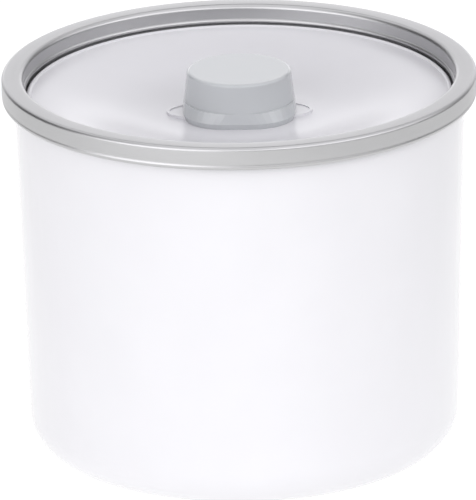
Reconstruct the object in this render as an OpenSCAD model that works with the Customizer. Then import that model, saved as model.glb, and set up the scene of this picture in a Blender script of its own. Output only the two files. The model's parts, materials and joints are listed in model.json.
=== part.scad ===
// Round electric yogurt maker: a white tub with a satin metal rim, a warmed inner well,
// a lift-out container and a dished grey lid with a round knob.
// The origin is on the surface it stands on, under the tub's centre. +Z is up, +Y is the rear.

/* [Overall] */
// Outside diameter of the metal rim, the widest part
rim_d = 190; // [188:1:194]
// Height from the table to the top of the rim
total_h = 158; // [152:1:166]
// How far the rubber feet stand below the tub
foot_h = 2; // [1.5:0.5:4]

/* [Tub] */
// Outside diameter of the white tub under the rim
tub_d = 180.8; // [179.5:0.1:181.4]
// Draft of the tub's side, narrowing downwards, in degrees
tub_draft = 1.65; // [0.5:0.05:2]
// Radius of the rounded edge round the tub's bottom
tub_corner_r = 16.5; // [13:0.5:18]
// Wall thickness of the tub
tub_wall = 2.3; // [2:0.1:2.6]

/* [Rim] */
// Width of the rim's flat top, from its inner lip to its outside
rim_w = 8.7; // [8.5:0.1:8.9]
// Depth of the rim's outer wall, from its top to its rolled lower edge
rim_skirt_h = 6.8; // [6:0.1:7.5]
// Sheet thickness of the rim
rim_wall = 1.2; // [1:0.1:1.3]

/* [Lid] */
// Outside diameter of the lid
lid_d = 170.4; // [168:0.2:170.6]
// Depth of the lid's edge below the top of the rim
lid_drop = 8.3; // [8:0.1:8.6]
// Depth of the dish in the lid's middle below its edge
lid_dish = 8.6; // [6:0.1:9.6]
// Diameter of the flat floor in the middle of the dish
lid_floor_d = 60; // [59:0.5:70]
// Wall thickness of the lid
lid_wall = 1.2; // [1:0.1:1.3]

/* [Knob] */
// Diameter of the knob's top
knob_top_d = 41.8; // [38:0.1:42.4]
// Diameter of the knob where its round part meets its foot
knob_waist_d = 44.2; // [43:0.1:44.6]
// Width of the foot across its flat sides, at the bottom
knob_foot_w = 45.2; // [44.8:0.1:46]
// Corner radius of the foot at the bottom
knob_foot_corner = 17; // [13:0.5:19]
// Height of the knob's foot
knob_foot_h = 6.4; // [5:0.1:7.5]
// Height of the knob's top above the rim
knob_rise = 1.2; // [0:0.1:2]
// Length of the oval seat plate under the knob
seat_l = 58.4; // [56:0.2:59]
// Width of the oval seat plate under the knob
seat_w = 25; // [20:0.5:30]

/* [Container] */
// Outside diameter of the container's side at its mouth
pot_d = 157.6; // [154:0.2:158]
// Wall thickness of the container
pot_wall = 1.2; // [1:0.1:1.6]

/* [Hidden] */
$fn = 96;
small_fn = 32;                               // for screws, pins and other small round things
eps = 0.01;
over = 1;                                    // how far a cutting shape runs past what it cuts

// heights
rim_top = total_h;
bead_r = 1.3;                                // the roll along the rim's lower edge
bead_z = rim_top - rim_skirt_h - bead_r;
tub_floor = foot_h;
tub_top = rim_top - 3.5;
lid_edge_z = rim_top - lid_drop;
lid_floor_z = lid_edge_z - lid_dish;
well_flange_z = lid_edge_z - 4.1;            // top of the heating well's flange
well_floor_z = 33;                           // underside of the heating well's floor
cover_t = 2.4;                               // thickness of the base cover
ledge_z = tub_floor + cover_t;               // underside of the ledge that the cover meets
knob_top_z = rim_top + knob_rise;

// radii
rim_r = rim_d / 2;
rim_in_r = rim_r - rim_w;
lid_r = lid_d / 2;
tub_r = tub_d / 2;                           // at the rim's lower edge
tub_top_r = tub_r + (tub_top - bead_z + bead_r) * tan(tub_draft);
well_r = 80;                                 // inside of the heating well
well_wall = 1;
well_corner_r = 12;
well_draft = 0.2;
well_out_r = well_r + well_wall;
well_flange_r = rim_in_r + rim_wall;
cover_r = 69.6;
cover_gap = 0.3;
ledge_in_r = 60;
ledge_t = 2.2;

// fasteners
cover_screw_circle = 65;
cover_screw_turn = 20;
screw_r = 1.5;
screw_head_r = 2.9;
thread_gap = 0.02;                           // between a screw's plain shank and its hole
boss_r = 4;
boss_h = 9;
sink_d = 1.2;                                // depth of the base screws' heads in the cover
foot_circle = 54;
foot_r = 7;
foot_stem_r = 2.5;
knob_screw_r = 2;

// heater stack under the well
plate_r = 52;
plate_t = 3;
element_t = 1.6;
element_in_r = 17;
element_out_r = 47;
clamp_t = 1.2;
stud_circle = 33;
stud_turn = 30;
stud_r = 2;
stack_z = well_floor_z - plate_t;            // underside of the heater plate
clamp_z = stack_z - element_t - clamp_t;     // underside of the clamp plate
nut_h = 3.2;

// thermostat, fuse and push-on tabs
thermostat_r = 8;
thermostat_h = 7;
ear_t = 1;
ear_hole_x = 12;
tab_x = 4;
tab_t = 0.8;
tab_w = 4.8;
tab_l = 7;
fuse_r = 2;
fuse_place = [24, -22];
fuse_turn = 30;

// mains inlet at the rear
inlet_z = 17.5;
inlet_w = 30;
inlet_h = 16;
inlet_face_y = 81;
inlet_back_y = 61;
inlet_flange_y = 73.5;
inlet_flange_w = 50;
inlet_flange_t = 2.4;
inlet_screw_x = 20.5;
inlet_screw_l = 7;
socket_r = 4.4;
socket_half = 4.3;                           // half the distance between the two pins
socket_depth = 14;
pin_r = 1.2;

// terminal block on the base cover, and the leads that meet in it
block_w = 26;
block_d = 12;
block_h = 9;
block_y = 34;
block_pitch = 12;
block_well_h = 3;                            // depth of the wells that hold the clamp screws
wire_x = block_pitch / 2;
wire_z = ledge_z + block_h / 2;
wire_front_y = block_y - block_d / 2 - 4;
wire_rear_y = block_y + block_d / 2 + 4;
lead_r = 1.1;
lead_end = 1;                                // each lead stops this far from the block's middle
inlet_tab_y = inlet_back_y - 6;
inlet_route = [[socket_half, inlet_tab_y, inlet_z], [socket_half + 1, inlet_tab_y - 4, inlet_z],
               [wire_x, wire_rear_y, wire_z], [wire_x, block_y + lead_end, wire_z]];
thermostat_route = [[-wire_x, block_y - lead_end, wire_z], [-wire_x, wire_front_y, wire_z],
                    [-wire_x, 12, wire_z], [-tab_x, 3.6, stack_z - thermostat_h - 4]];
heater_route = [[wire_x, block_y - lead_end, wire_z], [wire_x, wire_front_y, wire_z],
                [18, 8, wire_z], [34, -8, wire_z + 4], [35, -14, clamp_z - 3]];

// half profile of a tapered cup with a rounded bottom edge, from the axis outwards
module cup_profile(top_r, top_z, floor_z, corner_r, draft) {
    side = top_z - floor_z - corner_r + corner_r * sin(draft);
    centre_r = top_r - side * tan(draft) - corner_r * cos(draft);
    tangent_z = top_z - side;
    tangent_r = centre_r + corner_r * cos(draft);
    translate([0, floor_z]) square([centre_r, corner_r]);
    translate([centre_r, floor_z + corner_r]) circle(corner_r);
    polygon([[0, tangent_z], [tangent_r, tangent_z], [top_r, top_z], [0, top_z]]);
}

// a solid of revolution shaped like the tub, pulled in by inset
module tub_solid(inset) {
    rotate_extrude()
        intersection() {
            cup_profile(tub_top_r - inset / cos(tub_draft), tub_top, tub_floor + inset,
                        tub_corner_r - inset, tub_draft);
            translate([0, -over]) square([rim_r, total_h + 2 * over]);
        }
}

module ring(in_r, out_r, low, high) {
    translate([0, 0, low])
        difference() {
            cylinder(r = out_r, h = high - low);
            translate([0, 0, -over]) cylinder(r = in_r, h = high - low + 2 * over);
        }
}

// a round hole from low to high, cut clean through both faces
module drill(radius, low, high, sides = small_fn) {
    translate([0, 0, low - over]) cylinder(r = radius, h = high - low + 2 * over, $fn = sides);
}

module on_circle(count, radius, first = 0) {
    for (i = [0 : count - 1])
        rotate(first + i * 360 / count) translate([radius, 0, 0]) children();
}

module both_sides(x) {
    for (side = [-1, 1])
        translate([side * x, 0, 0]) children();
}

// a cross-slotted screw that points up, with the underside of its head at zero
module screw(shank_r, length, head_r, head_h) {
    face_r = head_r * 0.86;
    slot_l = head_r * 1.2;
    slot_w = head_r * 0.36;
    slot_d = head_h * 0.5;
    cylinder(r = shank_r, h = length, $fn = small_fn);
    translate([0, 0, -head_h])
        difference() {
            cylinder(r1 = face_r, r2 = head_r, h = head_h, $fn = small_fn);
            for (turn = [0, 90])
                rotate(turn)
                    translate([-slot_l / 2, -slot_w / 2, -over]) cube([slot_l, slot_w, over + slot_d]);
        }
}

module outer_shell() {
    color("white")
        difference() {
            union() {
                difference() {
                    tub_solid(0);
                    tub_cavity();
                }
                ring(ledge_in_r, cover_r + 4, ledge_z, ledge_z + ledge_t);
                well_ledge();
                on_circle(4, cover_screw_circle, cover_screw_turn)
                    translate([0, 0, ledge_z]) cylinder(r = boss_r, h = boss_h);
                inlet_bosses();
            }
            translate([0, 0, tub_floor - over]) cylinder(r = cover_r + cover_gap, h = cover_t + over);
            on_circle(4, cover_screw_circle, cover_screw_turn)
                drill(screw_r, ledge_z, ledge_z + boss_h - 2 * over);
            inlet_opening();
            both_sides(inlet_screw_x)
                translate([0, inlet_flange_y, inlet_z])
                    rotate([-90, 0, 0]) drill(screw_r, 0, inlet_screw_l - inlet_flange_t);
        }
}

// the space inside the tub, which leaves a band of floor round the base cover's opening
module tub_cavity() {
    band_in_r = cover_r + 3;
    difference() {
        union() {
            tub_solid(tub_wall);
            translate([0, 0, tub_top - over]) cylinder(r = tub_top_r - tub_wall, h = 2 * over);
        }
        cylinder(r = band_in_r, h = ledge_z);
    }
    drill(ledge_in_r, tub_floor, ledge_z + ledge_t, $fn);
}

// the ledge inside the mouth that the heating well hangs on
module well_ledge() {
    ledge_top = well_flange_z - well_wall;
    root_h = 4;
    lip_h = 1;
    lip_r = well_out_r + 3;
    root_r = tub_r - tub_wall / 2;
    rotate_extrude()
        polygon([[root_r, ledge_top - root_h], [root_r, ledge_top], [lip_r, ledge_top],
                 [lip_r, ledge_top - lip_h]]);
}

// the two pillars that the inlet's screws bite into, cut off by the tub's wall
module inlet_bosses() {
    pillar_r = 3.4;
    pillar_l = 20;
    intersection() {
        both_sides(inlet_screw_x)
            translate([0, inlet_flange_y, inlet_z])
                rotate([-90, 0, 0]) cylinder(r = pillar_r, h = pillar_l);
        tub_solid(tub_wall / 2);
    }
}

module inlet_opening() {
    gap = 0.3;
    reach = 20;
    translate([-inlet_w / 2 - gap, inlet_flange_y, inlet_z - inlet_h / 2 - gap])
        cube([inlet_w + 2 * gap, reach, inlet_h + 2 * gap]);
}

// the rim is one formed sheet: a flat top, a short inner wall, an outer wall and a rolled edge
module rim_ring() {
    outer_round = 1.5;
    inner_round = 1.9;
    bead_inset = 0.15;
    hem_r = 1.2;
    hem_z = lid_edge_z + 1.5;
    hem_proud = 0.7;
    lip_w = 0.3;
    skirt_z = bead_z;
    inner_h = rim_top - well_flange_z - inner_round;
    color("silver")
        rotate_extrude() {
            difference() {
                union() {
                    translate([rim_in_r, well_flange_z]) square([rim_wall + lip_w, inner_h]);
                    translate([rim_in_r, skirt_z])
                        square([rim_w, rim_top - skirt_z - inner_round]);
                    translate([rim_in_r + inner_round, rim_top - inner_round - over])
                        square([rim_w - inner_round - outer_round, inner_round + over]);
                    translate([rim_in_r + inner_round, rim_top - inner_round]) circle(inner_round);
                    translate([rim_r - outer_round, rim_top - outer_round]) circle(outer_round);
                }
                translate([rim_in_r + rim_wall, skirt_z - over])
                    square([rim_w - 2 * rim_wall, rim_top - skirt_z - rim_wall + over]);
                translate([rim_r - rim_wall - over, skirt_z - over])
                    square([rim_wall + 2 * over, bead_r + over]);
            }
            translate([rim_r - bead_inset - bead_r, bead_z]) circle(bead_r);
            translate([rim_r - rim_wall, bead_z]) square([rim_wall - 2 * bead_inset, bead_r + over]);
            intersection() {
                translate([rim_in_r + hem_r - hem_proud, hem_z]) circle(hem_r);
                translate([rim_in_r - hem_proud, hem_z - hem_r])
                    square([hem_proud + rim_wall, 2 * hem_r]);
            }
        }
}

module heating_well() {
    color("gainsboro") {
        rotate_extrude()
            difference() {
                cup_profile(well_out_r, well_flange_z, well_floor_z, well_corner_r, well_draft);
                cup_profile(well_r, well_flange_z + eps, well_floor_z + well_wall,
                            well_corner_r - well_wall, well_draft);
            }
        ring(well_r, well_flange_r, well_flange_z - well_wall, well_flange_z);
    }
}

module insulation_sleeve() {
    gap = 0.5;
    sleeve_t = 2.2;
    sleeve_top = well_flange_z - 8;
    color("lightyellow")
        ring(well_out_r + gap, well_out_r + gap + sleeve_t, well_floor_z + well_corner_r, sleeve_top);
}

module heater_plate() {
    stud_low = clamp_z - nut_h - 1;
    color("silver")
        union() {
            translate([0, 0, stack_z]) cylinder(r = plate_r, h = plate_t);
            on_circle(3, stud_circle, stud_turn)
                translate([0, 0, stud_low])
                    cylinder(r = stud_r, h = stack_z - stud_low + eps, $fn = small_fn);
        }
}

// a flat ring heater with a gap between the ends of its winding
module heater_element() {
    gap = 3;
    low = stack_z - element_t;
    color("darkkhaki")
        difference() {
            ring(element_in_r, element_out_r, low, stack_z);
            translate([-gap / 2, 0, low - over]) cube([gap, element_out_r + over, element_t + 2 * over]);
            on_circle(3, stud_circle, stud_turn) drill(stud_r + 0.5, low, stack_z);
        }
}

// the sheet that presses the heater element to its plate, with three windows
module clamp_plate() {
    window_r = 7;
    border = 1;
    color("lightgray")
        difference() {
            ring(element_in_r - border, element_out_r + border, clamp_z, clamp_z + clamp_t);
            on_circle(3, stud_circle, stud_turn) drill(stud_r + 0.3, clamp_z, clamp_z + clamp_t);
            on_circle(3, stud_circle, stud_turn + 60) drill(window_r, clamp_z, clamp_z + clamp_t, $fn);
        }
}

module clamp_nuts() {
    nut_r = 4;
    color("gray")
        on_circle(3, stud_circle, stud_turn)
            difference() {
                translate([0, 0, clamp_z - nut_h]) cylinder(r = nut_r, h = nut_h, $fn = 6);
                drill(stud_r + thread_gap, clamp_z - nut_h, clamp_z);
            }
}

// a push-on tab that hangs down from the middle of its top edge
module tab() {
    translate([-tab_t / 2, -tab_w / 2, -tab_l]) cube([tab_t, tab_w, tab_l + eps]);
}

// a snap-disc thermostat: a round cap, an ear plate with two holes, and two tabs
module thermostat() {
    ear_l = 30;
    ear_w = 10;
    color("black")
        difference() {
            union() {
                translate([0, 0, stack_z - thermostat_h]) cylinder(r = thermostat_r, h = thermostat_h);
                translate([-ear_l / 2, -ear_w / 2, stack_z - ear_t]) cube([ear_l, ear_w, ear_t]);
                both_sides(tab_x) translate([0, 0, stack_z - thermostat_h]) tab();
            }
            both_sides(ear_hole_x) drill(screw_r, stack_z - ear_t, stack_z);
        }
}

module thermostat_screws() {
    head_r = 2.5;
    head_h = 1.6;
    color("gray")
        both_sides(ear_hole_x)
            translate([0, 0, stack_z - ear_t]) screw(screw_r - thread_gap, ear_t, head_r, head_h);
}

// a round thermal fuse with a straight wire at each end, under the clamp plate
module thermal_fuse() {
    fuse_l = 12;
    wire_l = 8;
    wire_r = 0.5;
    drop = fuse_r + 0.6;
    color("tan")
        translate([fuse_place.x, fuse_place.y, clamp_z - drop])
            rotate([0, 90, fuse_turn]) {
                cylinder(r = fuse_r, h = fuse_l, center = true);
                cylinder(r = wire_r, h = fuse_l + 2 * wire_l, center = true, $fn = small_fn);
            }
}

// the spring clip that holds the fuse against the clamp plate
module fuse_clip() {
    clip_w = 5;
    clip_t = 0.6;
    grip_r = fuse_r + clip_t;
    mouth_w = 2.4;
    color("silver")
        translate([fuse_place.x, fuse_place.y, clamp_z - grip_r])
            rotate([90, 0, fuse_turn + 90])
                difference() {
                    union() {
                        cylinder(r = grip_r, h = clip_w, center = true);
                        translate([-grip_r, 0, -clip_w / 2]) cube([2 * grip_r, grip_r, clip_w]);
                    }
                    cylinder(r = fuse_r, h = clip_w + 2 * over, center = true);
                    translate([-mouth_w / 2, -grip_r - over, -clip_w / 2 - over])
                        cube([mouth_w, grip_r, clip_w + 2 * over]);
                }
}

module terminal_block() {
    screw_well_r = 2.5;
    wire_hole_r = 1.3;
    color("ivory")
        translate([0, block_y, ledge_z])
            difference() {
                translate([-block_w / 2, -block_d / 2, 0]) cube([block_w, block_d, block_h]);
                both_sides(wire_x) {
                    drill(screw_well_r, block_h - block_well_h + over, block_h);
                    translate([0, 0, block_h / 2])
                        rotate([90, 0, 0]) drill(wire_hole_r, -block_d / 2, block_d / 2);
                }
            }
}

// the two slotted clamp screws, seen in the bottom of their wells
module terminal_screws() {
    clamp_screw_r = 2;
    clamp_screw_h = 2.2;
    slot_w = 0.8;
    slot_d = 0.8;
    color("goldenrod")
        both_sides(wire_x)
            translate([0, block_y, ledge_z + block_h - block_well_h])
                difference() {
                    cylinder(r = clamp_screw_r, h = clamp_screw_h, $fn = small_fn);
                    translate([-clamp_screw_r - over, -slot_w / 2, clamp_screw_h - slot_d])
                        cube([2 * (clamp_screw_r + over), slot_w, slot_d + over]);
                }
}

// a point between b and c on a smooth curve through four points, where t runs from 0 to 1
function between(a, b, c, d, t) =
    0.5 * (2 * b + (c - a) * t + (2 * a - 5 * b + 4 * c - d) * t * t
           + (3 * b - a - 3 * c + d) * t * t * t);

function smooth_route(points, steps) = [
    for (i = [0 : len(points) - 2], k = [0 : steps - 1])
        between(points[max(i - 1, 0)], points[i], points[i + 1], points[min(i + 2, len(points) - 1)],
                k / steps),
    points[len(points) - 1]
];

// an insulated lead: a tube swept along a smooth route, with eight sides
module lead(points) {
    sides = 8;
    route = smooth_route(points, 4);
    last = len(route) - 1;
    rings = [
        for (i = [0 : last])
            let (way = route[min(i + 1, last)] - route[max(i - 1, 0)],
                 flat = cross([0, 0, 1], way),
                 across = flat / norm(flat),
                 rise = cross(way, across) / norm(way))
            for (k = [0 : sides - 1])
                route[i] + lead_r * (cos(k * 360 / sides) * across + sin(k * 360 / sides) * rise)
    ];
    walls = [
        for (i = [0 : last - 1], k = [0 : sides - 1])
            [i * sides + k, i * sides + (k + 1) % sides,
             (i + 1) * sides + (k + 1) % sides, (i + 1) * sides + k]
    ];
    first_cap = [for (k = [sides - 1 : -1 : 0]) k];
    last_cap = [for (k = [0 : sides - 1]) last * sides + k];
    polyhedron(rings, concat([first_cap, last_cap], walls), convexity = 6);
}

module lead_live() {
    color("saddlebrown") lead([for (p = inlet_route) [-p.x, p.y, p.z]]);
}

module lead_neutral() {
    color("royalblue") lead(inlet_route);
}

module lead_thermostat() {
    color("white") lead(thermostat_route);
}

module lead_heater() {
    color("white") lead(heater_route);
}

module figure_eight(radius) {
    for (side = [-1, 1])
        translate([side * socket_half, 0]) circle(radius);
    square([2 * socket_half, 2 * radius], center = true);
}

// the socket housing: a block through the tub's wall, with a flange inside for two screws
module inlet_housing() {
    pin_hole_l = inlet_face_y - socket_depth - inlet_back_y;
    color("dimgray")
        difference() {
            union() {
                translate([-inlet_w / 2, inlet_back_y, inlet_z - inlet_h / 2])
                    cube([inlet_w, inlet_face_y - inlet_back_y, inlet_h]);
                translate([-inlet_flange_w / 2, inlet_flange_y - inlet_flange_t, inlet_z - inlet_h / 2])
                    cube([inlet_flange_w, inlet_flange_t, inlet_h]);
            }
            translate([0, inlet_face_y - socket_depth, inlet_z])
                rotate([-90, 0, 0]) linear_extrude(socket_depth + over) figure_eight(socket_r);
            both_sides(inlet_screw_x)
                translate([0, inlet_flange_y - inlet_flange_t, inlet_z])
                    rotate([-90, 0, 0]) drill(screw_r + 0.1, 0, inlet_flange_t);
            both_sides(socket_half)
                translate([0, inlet_back_y, inlet_z]) rotate([-90, 0, 0]) drill(pin_r, 0, pin_hole_l);
        }
}

// two round contact pins, each with a flat tab behind the housing
module inlet_pins() {
    short_of_face = 3;
    pin_l = inlet_face_y - inlet_back_y - short_of_face;
    color("silver")
        both_sides(socket_half)
            translate([0, inlet_back_y, inlet_z])
                rotate([-90, 0, 0]) {
                    cylinder(r = pin_r, h = pin_l, $fn = small_fn);
                    tab();
                }
}

module inlet_screws() {
    head_h = 2;
    color("gray")
        both_sides(inlet_screw_x)
            translate([0, inlet_flange_y - inlet_flange_t, inlet_z])
                rotate([-90, 0, 0]) screw(screw_r - thread_gap, inlet_screw_l, screw_head_r, head_h);
}

module base_cover() {
    vent_count = 24;
    vent_w = 2.6;
    vent_l = 14;
    vent_circle = 30;
    color("whitesmoke")
        difference() {
            translate([0, 0, tub_floor]) cylinder(r = cover_r, h = cover_t);
            on_circle(4, cover_screw_circle, cover_screw_turn) {
                drill(screw_r + 0.2, tub_floor, ledge_z);
                translate([0, 0, tub_floor - over]) cylinder(r = screw_head_r + 0.3, h = over + sink_d);
            }
            on_circle(4, foot_circle, 45) drill(foot_stem_r, tub_floor, ledge_z);
            on_circle(vent_count, vent_circle)
                translate([-vent_l / 2, -vent_w / 2, tub_floor - over])
                    cube([vent_l, vent_w, cover_t + 2 * over]);
        }
}

module base_screws() {
    length = 8;
    head_h = 1.1;
    color("gray")
        on_circle(4, cover_screw_circle, cover_screw_turn)
            translate([0, 0, tub_floor + sink_d])
                screw(screw_r - thread_gap, length, screw_head_r, head_h);
}

// each foot is a tapered pad with a stem through the cover and a barb above it
module rubber_feet() {
    pad_taper = 0.6;
    barb_h = 2;
    barb_low_r = foot_stem_r + 0.7;
    barb_high_r = foot_stem_r - 0.4;
    color("dimgray")
        on_circle(4, foot_circle, 45) {
            cylinder(r1 = foot_r - pad_taper, r2 = foot_r, h = foot_h);
            translate([0, 0, foot_h - eps])
                cylinder(r = foot_stem_r, h = cover_t + 2 * eps, $fn = small_fn);
            translate([0, 0, ledge_z])
                cylinder(r1 = barb_low_r, r2 = barb_high_r, h = barb_h, $fn = small_fn);
        }
}

// the container hangs in the well by its rolled rim
module yogurt_container() {
    rim_out_r = 84;
    rim_z = well_flange_z + 0.3;
    roll_r = 1.1;
    bottom_z = well_floor_z + well_wall + 0.5;
    pot_corner_r = 11;
    pot_draft = 0.4;
    pot_r = pot_d / 2;
    pot_in_r = pot_r - pot_wall;
    color("lightgray")
        rotate_extrude() {
            difference() {
                cup_profile(pot_r, rim_z + pot_wall, bottom_z, pot_corner_r, pot_draft);
                cup_profile(pot_in_r, rim_z + pot_wall + eps, bottom_z + pot_wall,
                            pot_corner_r - pot_wall, pot_draft);
            }
            translate([pot_in_r, rim_z]) square([rim_out_r - roll_r - pot_in_r, pot_wall]);
            translate([rim_out_r - roll_r, rim_z + roll_r]) circle(roll_r);
        }
}

// the lid's top surface: a flat floor, a smooth slope, then a narrow level edge
slope_in_r = lid_floor_d / 2;
slope_out_r = lid_r - 4;
function slope_share(r) = min(1, max(0, (r - slope_in_r) / (slope_out_r - slope_in_r)));
function smooth(t) = t * t * (3 - 2 * t);
function dish_z(r) = lid_floor_z + lid_dish * smooth(slope_share(r));

module lid_profile() {
    steps = 26;
    side_r = lid_r - 0.6;
    radii = [for (i = [0 : steps]) slope_in_r + (slope_out_r - slope_in_r) * i / steps];
    top = [for (r = radii) [r, dish_z(r)]];
    under = [for (i = [steps : -1 : 0]) [radii[i], dish_z(radii[i]) - lid_wall]];
    polygon(concat([[0, lid_floor_z]], top, [[side_r, lid_edge_z], [side_r, lid_edge_z - lid_wall]],
                   under, [[0, lid_floor_z - lid_wall]]));
}

module lid_panel() {
    edge_r = 1.1;
    edge_rise = 0.6;
    color("gainsboro")
        difference() {
            union() {
                rotate_extrude() lid_profile();
                rotate_extrude() translate([lid_r - edge_r, lid_edge_z - edge_r + edge_rise]) circle(edge_r);
            }
            drill(knob_screw_r + 0.2, lid_floor_z - lid_wall, lid_floor_z, $fn);
        }
}

// a soft ring on the lid's underside that centres it in the container's mouth
module lid_seal() {
    gap = 0.8;
    seal_w = 3;
    seal_h = 6.5;
    out_r = pot_d / 2 - pot_wall - gap;
    color("whitesmoke")
        rotate_extrude()
            difference() {
                translate([out_r - seal_w, lid_edge_z - lid_wall - seal_h]) square([seal_w, seal_h]);
                lid_profile();
            }
}

module oval(half_l, half_w) {
    count = 72;
    polygon([for (i = [0 : count - 1])
        [half_l * cos(i * 360 / count), half_w * sin(i * 360 / count)]]);
}

seat_base = 0.7;                             // thickness of the seat plate inside its raised edge
seat_edge_h = 1.1;

// an oval plate with a raised edge, clamped between the knob and the lid
module knob_seat() {
    edge_w = 1.2;
    color("gainsboro")
        translate([0, 0, lid_floor_z])
            difference() {
                linear_extrude(seat_edge_h) oval(seat_l / 2, seat_w / 2);
                translate([0, 0, seat_base])
                    linear_extrude(seat_edge_h) oval(seat_l / 2 - edge_w, seat_w / 2 - edge_w);
                drill(knob_screw_r + 0.2, 0, seat_edge_h, $fn);
            }
}

module foot_outline(half, corner) {
    inner = half - corner;
    linear_extrude(0.05) {
        square([2 * half, 2 * inner], center = true);
        square([2 * inner, 2 * half], center = true);
        for (x = [-inner, inner], y = [-inner, inner])
            translate([x, y]) circle(corner, $fn = 40);
    }
}

// the foot: nearly round where it meets the knob, a rounded square at its widest, then turned in
module knob_foot() {
    edge_z = 2.2;
    edge_in = 0.7;
    half = knob_foot_w / 2;
    waist_half = knob_waist_d / 2;
    waist_corner = waist_half - 2.4;
    hull() {
        translate([0, 0, knob_foot_h - eps]) foot_outline(waist_half, waist_corner);
        translate([0, 0, edge_z]) foot_outline(half, knob_foot_corner);
        foot_outline(half - edge_in, knob_foot_corner - edge_in);
    }
}

// a hollow knob with a screw pillar in the middle
module lid_knob() {
    top_round = 1.2;
    wall = 2.6;
    pillar_r = 6;
    hole_l = 12;
    top_r = knob_top_d / 2;
    waist_r = knob_waist_d / 2;
    waist_z = lid_floor_z + knob_foot_h;
    color("darkgray")
        difference() {
            union() {
                rotate_extrude()
                    union() {
                        polygon([[0, waist_z - eps], [waist_r, waist_z - eps],
                                 [top_r, knob_top_z - top_round], [top_r - top_round, knob_top_z],
                                 [0, knob_top_z]]);
                        translate([top_r - top_round, knob_top_z - top_round]) circle(top_round);
                    }
                translate([0, 0, lid_floor_z]) knob_foot();
            }
            ring(pillar_r, top_r - wall, lid_floor_z - over, knob_top_z - wall);
            translate([0, 0, lid_floor_z - over])
                linear_extrude(over + seat_edge_h) oval(seat_l / 2, seat_w / 2);
            translate([0, 0, lid_floor_z - over]) cylinder(r = knob_screw_r, h = hole_l, $fn = small_fn);
        }
}

washer_t = 1;
washer_low_z = lid_floor_z - lid_wall - washer_t;

module knob_screw() {
    length = 11;
    head_r = 4;
    head_h = 2.2;
    color("gray")
        translate([0, 0, washer_low_z]) screw(knob_screw_r - thread_gap, length, head_r, head_h);
}

module knob_washer() {
    washer_r = 5.5;
    color("silver") ring(knob_screw_r + 0.1, washer_r, washer_low_z, washer_low_z + washer_t);
}

outer_shell();
rim_ring();
heating_well();
insulation_sleeve();
heater_plate();
heater_element();
clamp_plate();
clamp_nuts();
thermostat();
thermostat_screws();
thermal_fuse();
fuse_clip();
terminal_block();
terminal_screws();
lead_live();
lead_neutral();
lead_thermostat();
lead_heater();
inlet_housing();
inlet_pins();
inlet_screws();
base_cover();
base_screws();
rubber_feet();
yogurt_container();
lid_panel();
lid_seal();
knob_seat();
lid_knob();
knob_screw();
knob_washer();
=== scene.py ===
"""A round yogurt maker with a satin metal rim and a grey lid, in soft studio light on a pale floor."""
import json
import math

import bpy
from mathutils import Matrix, Vector


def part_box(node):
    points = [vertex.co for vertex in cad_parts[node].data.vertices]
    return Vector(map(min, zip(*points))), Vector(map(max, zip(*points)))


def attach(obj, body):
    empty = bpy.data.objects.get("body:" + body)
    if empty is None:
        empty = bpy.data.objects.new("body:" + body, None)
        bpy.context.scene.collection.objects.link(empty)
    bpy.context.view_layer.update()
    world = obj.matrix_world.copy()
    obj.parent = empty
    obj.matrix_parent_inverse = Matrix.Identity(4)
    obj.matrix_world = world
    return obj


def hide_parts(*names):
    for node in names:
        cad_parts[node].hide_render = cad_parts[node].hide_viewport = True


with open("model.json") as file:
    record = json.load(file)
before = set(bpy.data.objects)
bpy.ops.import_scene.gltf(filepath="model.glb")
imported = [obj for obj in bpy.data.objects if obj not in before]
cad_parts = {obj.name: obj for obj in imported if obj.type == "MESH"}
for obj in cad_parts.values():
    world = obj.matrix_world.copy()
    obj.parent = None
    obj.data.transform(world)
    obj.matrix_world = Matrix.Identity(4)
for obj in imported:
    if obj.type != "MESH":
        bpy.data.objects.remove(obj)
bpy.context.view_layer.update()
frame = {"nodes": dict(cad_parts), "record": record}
NODES = frame["nodes"]
MM = 0.001


# ---------------------------------------------------------------- shader building blocks

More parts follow.
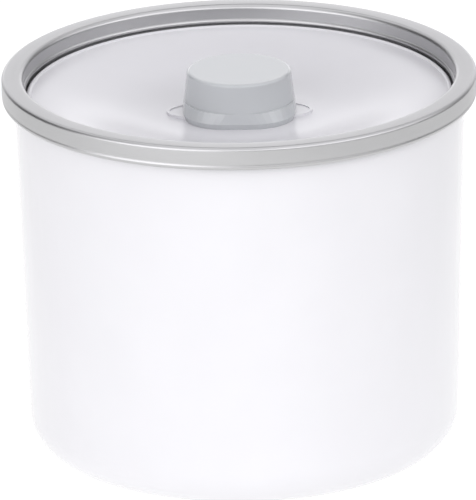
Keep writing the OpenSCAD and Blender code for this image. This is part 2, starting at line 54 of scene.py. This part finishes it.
class Shader:
    """A node tree with short calls for the nodes that the finishes share."""

    def __init__(self, name):
        self.material = bpy.data.materials.new(name)
        self.material.use_nodes = True
        self.tree = self.material.node_tree
        self.bsdf = self.tree.nodes["Principled BSDF"]
        self.place = self.add("ShaderNodeTexCoord").outputs["Object"]

    def add(self, kind, inputs=(), **settings):
        node = self.tree.nodes.new(kind)
        for key, value in settings.items():
            setattr(node, key, value)
        for key, value in dict(inputs).items():
            self.feed(node.inputs[key], value)
        return node

    def feed(self, socket, value):
        if isinstance(value, bpy.types.NodeSocket):
            self.tree.links.new(value, socket)
        else:
            socket.default_value = value

    def math(self, operation, *values):
        node = self.add("ShaderNodeMath", operation=operation)
        for socket, value in zip(node.inputs, values):
            self.feed(socket, value)
        return node.outputs[0]

    def noise(self, vector, scale, detail=3.0, roughness=0.5):
        """Noise with scale given in features per metre."""
        inputs = {"Vector": vector, "Scale": scale, "Detail": detail, "Roughness": roughness}
        return self.add("ShaderNodeTexNoise", inputs).outputs["Fac"]

    def ring_noise(self, scale, detail=2.0):
        """Noise in rings round the part's axis, across flat faces and up the sides, as turned metal has."""
        flat = self.add("ShaderNodeVectorMath", {0: self.place, 1: (1, 1, 0)}, operation="MULTIPLY")
        radius = self.add("ShaderNodeVectorMath", {0: flat.outputs[0]}, operation="LENGTH")
        height = self.add("ShaderNodeSeparateXYZ", {0: self.place}).outputs["Z"]
        along = self.math("ADD", radius.outputs["Value"], height)
        inputs = {"W": along, "Scale": scale, "Detail": detail}
        return self.add("ShaderNodeTexNoise", inputs, noise_dimensions="1D").outputs["Fac"]

    def stretched(self, factors):
        """The place with each axis scaled, which draws noise out along the axes with small factors."""
        node = self.add("ShaderNodeVectorMath", {0: self.place, 1: factors}, operation="MULTIPLY")
        return node.outputs[0]

    def spread(self, value, low, high):
        """The value's range from 0.25 to 0.75, which holds most noise, moved to low..high."""
        inputs = {"Value": value, "From Min": 0.25, "From Max": 0.75, "To Min": low, "To Max": high}
        return self.add("ShaderNodeMapRange", inputs).outputs["Result"]

    def tint(self, colour, value, low, high):
        """The colour, darker or lighter by the factor that value gives."""
        shade = self.spread(value, low, high)
        rgb = self.add("ShaderNodeCombineXYZ", {0: shade, 1: shade, 2: shade}).outputs[0]
        node = self.add("ShaderNodeVectorMath", {0: rgb, 1: colour}, operation="MULTIPLY")
        self.feed(self.bsdf.inputs["Base Color"], node.outputs[0])

    def bump(self, height, distance, strength=1.0, after=None):
        inputs = {"Height": height, "Distance": distance, "Strength": strength}
        if after is not None:
            inputs["Normal"] = after
        return self.add("ShaderNodeBump", inputs).outputs["Normal"]

    def set(self, **values):
        """Shader sockets by name, with underscores for spaces."""
        for key, value in values.items():
            self.feed(self.bsdf.inputs[key.replace("_", " ")], value)


def moulded(name, colour, roughness, grain, depth, coat=0.0):
    """Moulded plastic: a slight unevenness from the mould, and a fine grain."""
    s = Shader(name)
    cloud = s.noise(s.place, 35, 2)
    fine = s.noise(s.place, grain, 3)
    s.tint(colour, cloud, 0.985, 1.01)
    s.set(Roughness=s.spread(fine, roughness * 0.85, roughness * 1.15), IOR=1.49)
    s.set(Normal=s.bump(fine, depth, after=s.bump(cloud, depth * 8, 0.4)))
    s.set(Coat_Weight=coat, Coat_Roughness=0.04)
    return s.material


def turned(name, colour, roughness, anisotropy, depth, line_scale=9000):
    """Sheet metal with the fine rings that a lathe or a spinning brush leaves."""
    s = Shader(name)
    lines = s.ring_noise(line_scale, 3)
    bands = s.ring_noise(260, 1)
    cloud = s.noise(s.place, 60, 3)
    s.tint(colour, s.math("ADD", s.math("MULTIPLY", lines, 0.5), s.math("MULTIPLY", cloud, 0.5)), 0.96, 1.03)
    line_roughness = s.spread(lines, roughness * 0.85, roughness * 1.1)
    rough = s.math("ADD", line_roughness, s.spread(bands, -0.02, 0.02))
    tangent = s.add("ShaderNodeTangent", direction_type="RADIAL", axis="Z").outputs[0]
    s.set(Metallic=1.0, Roughness=rough, Anisotropic=anisotropy, Tangent=tangent)
    s.set(Normal=s.bump(lines, depth))
    return s.material


def plated(name, colour, roughness, depth=0.00002):
    """Plated or bright steel of small hardware: faint blotches and drawing marks."""
    s = Shader(name)
    blotch = s.noise(s.place, 400, 4)
    marks = s.noise(s.stretched((1, 1, 14)), 900, 2)
    s.tint(colour, blotch, 0.85, 1.08)
    s.set(Metallic=1.0, Roughness=s.spread(marks, roughness * 0.7, roughness * 1.3))
    s.set(Normal=s.bump(marks, depth))
    return s.material


def rubbery(name, colour, roughness, dusty):
    """Rubber or silicone: a matt grain, with dust that lightens and darkens it by the share dusty."""
    s = Shader(name)
    dust = s.noise(s.place, 180, 4, 0.6)
    grain = s.noise(s.place, 4200, 2)
    s.tint(colour, dust, 1 - dusty, 1 + dusty)
    s.set(Roughness=s.spread(dust, roughness * 0.85, min(1, roughness * 1.15)))
    s.set(Normal=s.bump(grain, 0.00004, 0.6))
    return s.material


def felt(name, colour):
    """Needled felt: short fibres over soft lumps."""
    s = Shader(name)
    fibres = s.noise(s.stretched((1, 1, 5)), 1500, 6, 0.7)
    lumps = s.noise(s.place, 130, 3)
    s.tint(colour, s.math("MULTIPLY", s.math("ADD", fibres, lumps), 0.5), 0.7, 1.15)
    s.set(Roughness=0.95, Sheen_Weight=0.3, Sheen_Roughness=0.6)
    s.set(Normal=s.bump(fibres, 0.0003, after=s.bump(lumps, 0.001)))
    return s.material


def heater_foil(name, colour):
    """A film heater: an etched track in rings shows through the film."""
    s = Shader(name)
    flat = s.add("ShaderNodeVectorMath", {0: s.place, 1: (1, 1, 0)}, operation="MULTIPLY")
    radius = s.add("ShaderNodeVectorMath", {0: flat.outputs[0]}, operation="LENGTH").outputs["Value"]
    track = s.math("SINE", s.math("MULTIPLY", radius, 2 * math.pi / 0.003))
    s.tint(colour, s.spread(track, 0.4, 0.6), 0.6, 1.3)
    s.set(Roughness=0.35, Coat_Weight=0.5, Coat_Roughness=0.15)
    s.set(Normal=s.bump(track, 0.0001))
    return s.material


FINISHES = {
    "shell_white": moulded("shell_white", (0.785, 0.78, 0.805), 0.09, 2600, 0.000004, 0.6),
    "base_moulding": moulded("base_moulding", (0.78, 0.78, 0.8), 0.45, 5200, 0.00004),
    "knob_grey": moulded("knob_grey", (0.505, 0.52, 0.535), 0.2, 3200, 0.000006, 0.3),
    "inlet_moulding": moulded("inlet_moulding", (0.55, 0.55, 0.57), 0.5, 5200, 0.00004),
    "black_moulding": moulded("black_moulding", (0.03, 0.03, 0.032), 0.4, 4200, 0.00003),
    "terminal_moulding": moulded("terminal_moulding", (0.8, 0.77, 0.66), 0.4, 4200, 0.00002),
    "fuse_body": moulded("fuse_body", (0.55, 0.4, 0.26), 0.3, 3200, 0.00002, 0.3),
    "lead_brown": moulded("lead_brown", (0.17, 0.07, 0.035), 0.4, 2600, 0.00002),
    "lead_blue": moulded("lead_blue", (0.04, 0.13, 0.5), 0.4, 2600, 0.00002),
    "lead_white": moulded("lead_white", (0.8, 0.8, 0.77), 0.4, 2600, 0.00002),
    "rim_metal": turned("rim_metal", (0.552, 0.552, 0.557), 0.37, 0.2, 0.000004),
    "lid_grey": moulded("lid_grey", (0.705, 0.7, 0.727), 0.22, 3200, 0.000004),
    "seat_grey": moulded("seat_grey", (0.72, 0.715, 0.74), 0.22, 3200, 0.000004),
    "container_metal": turned("container_metal", (0.66, 0.66, 0.665), 0.26, 0.5, 0.000005),
    "well_metal": turned("well_metal", (0.77, 0.77, 0.78), 0.34, 0.5, 0.000008, 6000),
    "zinc_plate": plated("zinc_plate", (0.6, 0.62, 0.65), 0.35),
    "screw_metal": plated("screw_metal", (0.5, 0.5, 0.5), 0.3),
    "pin_metal": plated("pin_metal", (0.8, 0.79, 0.77), 0.15),
    "terminal_brass": plated("terminal_brass", (0.8, 0.6, 0.28), 0.25),
    "foot_rubber": rubbery("foot_rubber", (0.12, 0.12, 0.125), 0.75, 0.22),
    "seal_silicone": rubbery("seal_silicone", (0.8, 0.8, 0.8), 0.5, 0.02),
    "insulation": felt("insulation", (0.8, 0.76, 0.62)),
    "heater_film": heater_foil("heater_film", (0.45, 0.27, 0.1)),
}

for sub in frame["record"]["subparts"]:
    piece = NODES[sub["node"]]
    piece.data.materials.clear()
    piece.data.materials.append(FINISHES[sub["material_slot"]])


# ---------------------------------------------------------------- the rim and the lid, with finer curves

def arc(r, z, radius, start, stop, steps=12):
    """Points round an arc in the half plane of r and z, in mm, with angles in degrees from +r."""
    turns = [math.radians(start + (stop - start) * i / steps) for i in range(steps + 1)]
    return [(r + radius * math.cos(t), z + radius * math.sin(t)) for t in turns]


def lathe(name, outline, slices=384, sharp_over=25):
    """A closed outline of (r, z) in mm turned round the part's axis, smooth except at real corners."""
    count = len(outline)
    points = []
    for i in range(slices):
        turn = 2 * math.pi * i / slices
        points += [(r * MM * math.cos(turn), r * MM * math.sin(turn), z * MM) for r, z in outline]
    faces = [
        (i * count + k, (i + 1) % slices * count + k,
         (i + 1) % slices * count + (k + 1) % count, i * count + (k + 1) % count)
        for i in range(slices) for k in range(count)
    ]
    mesh = bpy.data.meshes.new(name)
    mesh.from_pydata(points, [], faces)
    mesh.shade_smooth()
    mesh.set_sharp_from_angle(angle=math.radians(sharp_over))
    piece = bpy.data.objects.new(name, mesh)
    bpy.context.scene.collection.objects.link(piece)
    return piece


def meets(offset, radius):
    """The angle in degrees, from +r, at which an arc is at this offset from its centre along r."""
    return math.degrees(math.acos(offset / radius))


# the rim's section in mm: an inner flange with a hem, a rounded top, and an outer skirt with a bead
rim_low, rim_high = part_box("rim_ring")
rim_r = rim_high.x / MM
rim_top = rim_high.z / MM
rim_foot = rim_low.z / MM
rim_w = 8.7
rim_wall = 1.2
skirt_h = 6.8
inner_r = rim_r - rim_w
inner_round = 1.9
outer_round = 1.5
flange_w = 1.5
hem_r = 1.2
hem_proud = 0.7
bead_r = 1.3
bead_inset = 0.15
skirt_z = rim_top - skirt_h
bead_z = skirt_z - bead_r
flange_z = bead_z - 1
hem_angle = meets(hem_proud - hem_r, hem_r)
bead_start = meets(bead_r - bead_inset, bead_r)
bead_stop = meets(bead_inset + bead_r - rim_wall, bead_r) - 360

rim_outline = (
    [(inner_r, rim_foot)]
    + arc(inner_r + hem_r - hem_proud, skirt_z, hem_r, 360 - hem_angle, hem_angle, 20)
    + arc(inner_r + inner_round, rim_top - inner_round, inner_round, 180, 90, 16)
    + arc(rim_r - outer_round, rim_top - outer_round, outer_round, 90, 0, 14)
    + [(rim_r, skirt_z), (rim_r - 2 * bead_inset, skirt_z)]
    + arc(rim_r - bead_inset - bead_r, bead_z, bead_r, bead_start, bead_stop, 44)
    + [(rim_r - rim_wall, rim_top - rim_wall), (inner_r + rim_wall, rim_top - rim_wall),
       (inner_r + rim_wall, flange_z), (inner_r + flange_w, flange_z), (inner_r + flange_w, rim_foot)]
)

# the lid's section in mm: a level floor round the screw's hole, a smooth slope and a rolled edge
lid_gap = 1.1
lid_drop = 8.3
lid_level_w = 4
lid_wall = 1.2
lid_hole_r = 2.2
lid_floor_r = 30
lid_dish = 8.6
edge_r = 1.1
edge_rise = 0.6
lid_r = inner_r - lid_gap
lid_slope_r = lid_r - lid_level_w
lid_edge_z = rim_top - lid_drop
lid_floor_z = lid_edge_z - lid_dish
edge_z = lid_edge_z + edge_rise - edge_r


def dish(drop, steps=60):
    """The lid's smooth slope from its flat floor out to its level edge, lowered by drop mm."""
    shares = [i / steps for i in range(steps + 1)]
    run = lid_slope_r - lid_floor_r
    return [(lid_floor_r + run * t, lid_floor_z - drop + lid_dish * t * t * (3 - 2 * t)) for t in shares]


lid_outline = (
    [(lid_hole_r, lid_floor_z)] + dish(0) + arc(lid_r - edge_r, edge_z, edge_r, 153, -140.5, 32)
    + dish(lid_wall)[::-1] + [(lid_hole_r, lid_floor_z - lid_wall)]
)

for node, outline, slot, body in (
    ("rim_ring", rim_outline, "rim_metal", "base"),
    ("lid_panel", lid_outline, "lid_grey", "lid"),
):
    fine = lathe(f"{node}_fine", outline)
    fine.data.materials.append(FINISHES[slot])
    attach(fine, body)
    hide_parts(node)


# ---------------------------------------------------------------- floor, light and camera

def make_floor(half, glow_inside, glow_beyond):
    """White paper lit from below along a strip under and behind the part, less so at the sides."""
    strip, fade_end = 0.16, 0.34
    mesh = bpy.data.meshes.new("floor")
    outline = [(-half, -half, 0), (half, -half, 0), (half, half, 0), (-half, half, 0)]
    mesh.from_pydata(outline, [], [(0, 1, 2, 3)])
    floor = bpy.data.objects.new("floor", mesh)
    bpy.context.scene.collection.objects.link(floor)
    s = Shader("floor_paper")
    across = s.add("ShaderNodeSeparateXYZ", {0: s.place}).outputs["X"]
    away = s.math("ABSOLUTE", across)
    inputs = {
        "Value": away,
        "From Min": strip, "From Max": fade_end,
        "To Min": glow_inside, "To Max": glow_beyond,
    }
    fade = s.add("ShaderNodeMapRange", inputs, interpolation_type="SMOOTHSTEP", label="glow")
    glow = fade.outputs["Result"]
    s.set(Base_Color=(0.15, 0.15, 0.15, 1), Roughness=0.9)
    s.set(Emission_Color=(1, 1, 1, 1), Emission_Strength=glow)
    s.set(Normal=s.bump(s.noise(s.place, 900, 3), 0.00003))
    mesh.materials.append(s.material)


def softbox(name, place, aim, size, power):
    """A rectangular lamp, facing aim, that the camera doesn't see."""
    data = bpy.data.lights.new(name, "AREA")
    data.shape = "RECTANGLE"
    data.size, data.size_y = size
    data.energy = power
    lamp = bpy.data.objects.new(name, data)
    lamp.location = place
    lamp.rotation_euler = (Vector(aim) - Vector(place)).to_track_quat("-Z", "Y").to_euler()
    lamp.visible_camera = False
    bpy.context.scene.collection.objects.link(lamp)


class Tent:
    """World nodes that turn a direction into the light tent's brightness."""

    def __init__(self, base, tint):
        world = bpy.data.worlds.new("light_tent")
        bpy.context.scene.world = world
        world.use_nodes = True
        self.nodes, self.links = world.node_tree.nodes, world.node_tree.links
        direction = self.nodes.new("ShaderNodeTexCoord").outputs["Generated"]
        self.z = self.add("ShaderNodeSeparateXYZ", direction).outputs["Z"]
        flat = self.add("ShaderNodeVectorMath", direction, (1, 1, 0), operation="MULTIPLY").outputs[0]
        self.heading = self.add("ShaderNodeVectorMath", flat, operation="NORMALIZE").outputs[0]
        self.level = self.add("ShaderNodeMath", base, 0.0, operation="ADD").outputs[0]
        self.background = self.nodes["Background"]
        self.background.inputs["Color"].default_value = tint

    def add(self, kind, *inputs, **settings):
        node = self.nodes.new(kind)
        for key, value in settings.items():
            setattr(node, key, value)
        for socket, value in zip(node.inputs, inputs):
            if isinstance(value, bpy.types.NodeSocket):
                self.links.new(value, socket)
            else:
                socket.default_value = value
        return node

    def step(self, value, low, high, out_low=0.0, out_high=1.0):
        node = self.add("ShaderNodeMapRange", value, low, high, out_low, out_high)
        node.interpolation_type = "SMOOTHSTEP"
        return node.outputs["Result"]

    def times(self, a, b):
        return self.add("ShaderNodeMath", a, b, operation="MULTIPLY").outputs[0]

    def band(self, low, high, blur=0.12):
        """A band of heights, given as the sine of the elevation, with soft edges."""
        rise = self.step(self.z, low - blur, low + blur)
        return self.times(rise, self.step(self.z, high - blur, high + blur, 1, 0))

    def panel(self, name, azimuth, low, high, amount, width=45):
        """A soft panel of light at an azimuth clockwise from the rear, seen from above."""
        turn = math.radians(azimuth)
        towards = (math.sin(turn), math.cos(turn), 0)
        facing = self.add("ShaderNodeVectorMath", self.heading, towards, operation="DOT_PRODUCT")
        edge = math.cos(math.radians(width))
        sector = self.step(facing.outputs["Value"], edge, 1)
        self.light(name, self.times(self.band(low, high), sector), amount)

    def light(self, name, patch, amount):
        node = self.add("ShaderNodeMath", patch, amount, self.level, operation="MULTIPLY_ADD", label=name)
        self.level = node.outputs[0]

    def finish(self):
        self.links.new(self.level, self.background.inputs["Strength"])


# each band's lower and upper height, then its amounts at azimuths 0, 45 ... 315, clockwise from the rear;
# the amounts are the output of a least-squares fit made outside this script, and weren't set by hand
PANELS = {
    "low": (-0.2, 0.3, (1.67, 0, 0, 0.34, 0, 2.54, 0, 0)),
    "middle": (0.3, 0.6, (0.86, 0, 1.5, 1.71, 1.41, 1.29, 0, 0)),
    "high": (0.6, 0.88, (0, 0.87, 0.38, 1.08, 0.34, 0.98, 0, 1.13)),
}


def light_tent():
    tent = Tent(base=0.07, tint=(0.985, 0.98, 1, 1))
    for name, (low, high, amounts) in PANELS.items():
        for place, amount in enumerate(amounts):
            azimuth = place * 45
            if amount:
                tent.panel(f"{name}_{azimuth}", azimuth, low, high, amount)
    tent.light("overhead", tent.step(tent.z, 0.8, 0.95), 1.0)
    tent.finish()


def make_camera(azimuth, elevation, roll, distance, lens, aim):
    """A camera looking at aim, with the picture turned by roll."""
    a, e = math.radians(azimuth), math.radians(elevation)
    back = Vector((math.sin(a) * math.cos(e), -math.cos(a) * math.cos(e), math.sin(e)))
    data = bpy.data.cameras.new("camera")
    data.lens = lens
    data.clip_end = 50
    camera = bpy.data.objects.new("camera", data)
    turn = (-back).to_track_quat("-Z", "Y").to_matrix() @ Matrix.Rotation(math.radians(roll), 3, "Z")
    camera.matrix_world = Matrix.Translation(Vector(aim) + back * distance) @ turn.to_4x4()
    bpy.context.scene.collection.objects.link(camera)
    bpy.context.scene.camera = camera


make_camera(azimuth=0, elevation=19.3, roll=-0.98, distance=4.58, lens=821, aim=(-1.6 * MM, 0, 82.7 * MM))
make_floor(3, glow_inside=0.92, glow_beyond=0.78)
light_tent()
softbox("strip", place=(0.03, -1.6, 0.6), aim=(0, 0, 0.13), size=(0.03, 0.4), power=0.35)

bpy.context.scene.view_settings.view_transform = "Standard"
